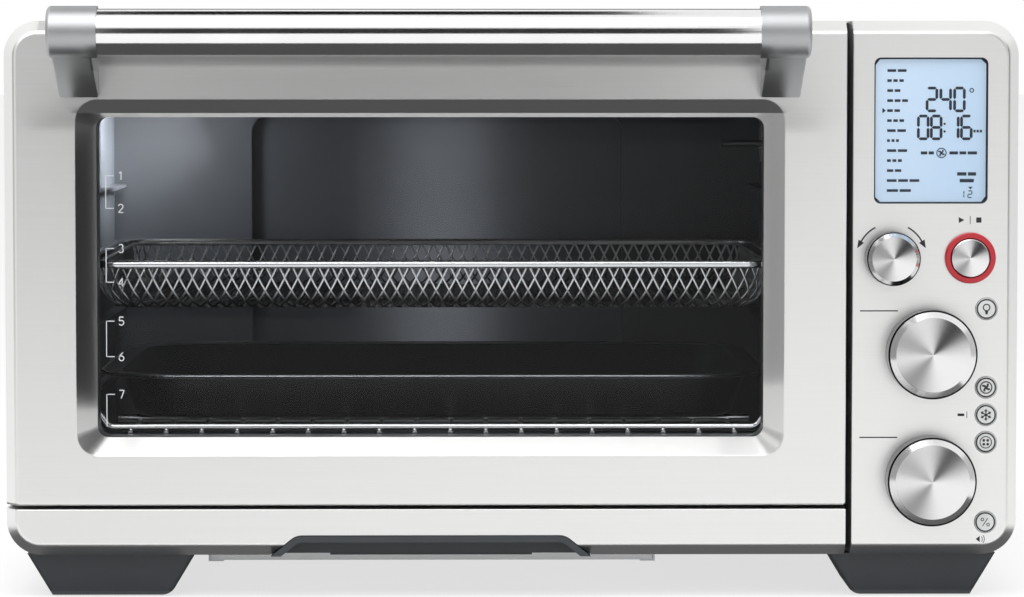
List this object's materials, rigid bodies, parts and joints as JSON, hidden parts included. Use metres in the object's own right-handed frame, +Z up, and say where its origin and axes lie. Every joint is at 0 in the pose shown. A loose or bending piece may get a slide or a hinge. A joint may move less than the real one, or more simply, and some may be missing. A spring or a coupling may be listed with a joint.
{
  "type": "toaster oven",
  "caption": "Countertop toaster oven with a drop-down glass door, control column with dials and buttons, wire rack, roasting pan, mesh basket and crumb tray.",
  "frame": {"origin": "on the table, under the centre of the oven box", "axes": "+Z up, the door faces -Y, +X to the right seen from the front"},
  "size_m": [0.546, 0.44, 0.3187],
  "materials": {
    "brushed_steel": "fine horizontal brush lines, satin",
    "liner_steel": "plain satin sheet",
    "cavity_coating": "dark grey non-stick coating",
    "window_glass": "clear dark-tinted glass",
    "polished_steel": "mirror polished tube",
    "cast_bracket": "satin cast metal",
    "turned_aluminium": "spun face, satin",
    "charcoal_plastic": "fine moulded grain",
    "grip_plastic": "smooth moulded",
    "pad_rubber": "soft matt",
    "wire_chrome": "bright plated wire",
    "pan_enamel": "black enamel",
    "ceramic": "matt ceramic",
    "quartz": "frosted quartz tube",
    "display_glass": "clear pane",
    "display_panel": "lit pale blue panel",
    "circuit_board": "solder mask",
    "red_ring": "translucent red, lit",
    "motor_steel": "plain plated steel",
    "lamp_glass": "clear lamp glass"
  },
  "bodies": {
    "chassis": {"outer_cover": "brushed_steel", "base_pan": "liner_steel", "front_frame": "liner_steel", "rear_panel": "liner_steel", "rear_screws": "motor_steel", "rear_spacers": "charcoal_plastic", "cord_gland": "charcoal_plastic", "base_trim": "brushed_steel", "control_fascia": "brushed_steel", "display_lens": "display_glass", "lcd_module": "display_panel", "control_carrier": "charcoal_plastic", "control_board": "circuit_board", "start_ring": "red_ring", "power_board": "circuit_board", "cavity_roof": "cavity_coating", "cavity_back": "cavity_coating", "cavity_side_left": "cavity_coating", "cavity_side_right": "cavity_coating", "heating_elements": "quartz", "element_caps": "ceramic", "fan_housing": "liner_steel", "fan_motor": "motor_steel", "lamp_lens": "lamp_glass", "lamp_holder": "ceramic", "lamp_bulb": "lamp_glass", "temperature_sensor": "motor_steel", "tray_runners": "liner_steel", "feet": "charcoal_plastic", "foot_pads": "pad_rubber", "hinge_brackets": "motor_steel"},
    "door": {"door_skin": "brushed_steel", "door_glass": "window_glass", "door_liner": "liner_steel", "handle_bar": "polished_steel", "handle_brackets": "cast_bracket", "handle_screws": "motor_steel", "hinge_leaves": "motor_steel", "hinge_pins": "motor_steel", "hinge_springs": "motor_steel"},
    "basket": {"basket_frame": "wire_chrome", "basket_mesh": "wire_chrome"},
    "rack": {"wire_rack": "wire_chrome"},
    "pan": {"roasting_pan": "pan_enamel"},
    "tray": {"crumb_tray": "liner_steel", "crumb_tray_handle": "grip_plastic"},
    "fan": {"convection_fan": "turned_aluminium", "fan_shaft": "motor_steel"},
    "temperature_dial": {"temperature_knob": "turned_aluminium", "temperature_shaft": "motor_steel"},
    "time_dial": {"time_knob": "turned_aluminium", "time_shaft": "motor_steel"},
    "select_plunger": {"select_shaft": "motor_steel"},
    "select_dial": {"select_knob": "turned_aluminium"},
    "start": {"start_button": "turned_aluminium"},
    "lamp_key": {"lamp_button": "turned_aluminium"},
    "fan_key": {"fan_button": "turned_aluminium"},
    "frozen_key": {"frozen_button": "turned_aluminium"},
    "more_key": {"more_button": "turned_aluminium"},
    "unit_key": {"unit_button": "turned_aluminium"}
  },
  "joints": [
    {"name": "door_hinge", "type": "hinge", "parent": "chassis", "child": "door", "pos_m": [-0.04385, -0.1573, 0.0556], "axis": [1, 0, 0], "range_deg": [0, 90], "stiffness_Nm_per_rad": 1, "springref_deg": -28.65},
    {"name": "basket_slide", "type": "slide", "parent": "chassis", "child": "basket", "axis": [0, -1, 0], "range_m": [0, 0.145]},
    {"name": "rack_slide", "type": "slide", "parent": "chassis", "child": "rack", "axis": [0, -1, 0], "range_m": [0, 0.046]},
    {"name": "pan_lift", "type": "slide", "parent": "rack", "child": "pan", "axis": [0, 0, 1], "range_m": [0, 0.028]},
    {"name": "tray_slide", "type": "slide", "parent": "chassis", "child": "tray", "axis": [0, -1, 0], "range_m": [0, 0.25]},
    {"name": "fan_spin", "type": "hinge", "parent": "chassis", "child": "fan", "pos_m": [0.16, 0.02595, 0.1767], "axis": [1, 0, 0], "continuous": true},
    {"name": "temperature_turn", "type": "hinge", "parent": "chassis", "child": "temperature_dial", "pos_m": [0.225, -0.1623, 0.133], "axis": [0, -1, 0], "continuous": true},
    {"name": "time_turn", "type": "hinge", "parent": "chassis", "child": "time_dial", "pos_m": [0.225, -0.1623, 0.0647], "axis": [0, -1, 0], "continuous": true},
    {"name": "select_press", "type": "slide", "parent": "chassis", "child": "select_plunger", "axis": [0, 1, 0], "range_m": [0, 0.0012], "stiffness_N_per_m": 600, "springref_m": -0.0002},
    {"name": "select_turn", "type": "hinge", "parent": "select_plunger", "child": "select_dial", "pos_m": [0.204, -0.1623, 0.1842], "axis": [0, -1, 0], "continuous": true},
    {"name": "start_press", "type": "slide", "parent": "chassis", "child": "start", "axis": [0, 1, 0], "range_m": [0, 0.0008], "stiffness_N_per_m": 500, "springref_m": -0.0002},
    {"name": "lamp_press", "type": "slide", "parent": "chassis", "child": "lamp_key", "axis": [0, 1, 0], "range_m": [0, 0.0008], "stiffness_N_per_m": 300, "springref_m": -0.0002},
    {"name": "fan_press", "type": "slide", "parent": "chassis", "child": "fan_key", "axis": [0, 1, 0], "range_m": [0, 0.0008], "stiffness_N_per_m": 300, "springref_m": -0.0002},
    {"name": "frozen_press", "type": "slide", "parent": "chassis", "child": "frozen_key", "axis": [0, 1, 0], "range_m": [0, 0.0008], "stiffness_N_per_m": 300, "springref_m": -0.0002},
    {"name": "more_press", "type": "slide", "parent": "chassis", "child": "more_key", "axis": [0, 1, 0], "range_m": [0, 0.0008], "stiffness_N_per_m": 300, "springref_m": -0.0002},
    {"name": "unit_press", "type": "slide", "parent": "chassis", "child": "unit_key", "axis": [0, 1, 0], "range_m": [0, 0.0008], "stiffness_N_per_m": 300, "springref_m": -0.0002}
  ],
  "couplings": [
    {"joint": "basket_slide", "follows": "door_hinge", "m_per_rad": 0.09},
    {"joint": "rack_slide", "follows": "door_hinge", "m_per_rad": 0.028}
  ]
}
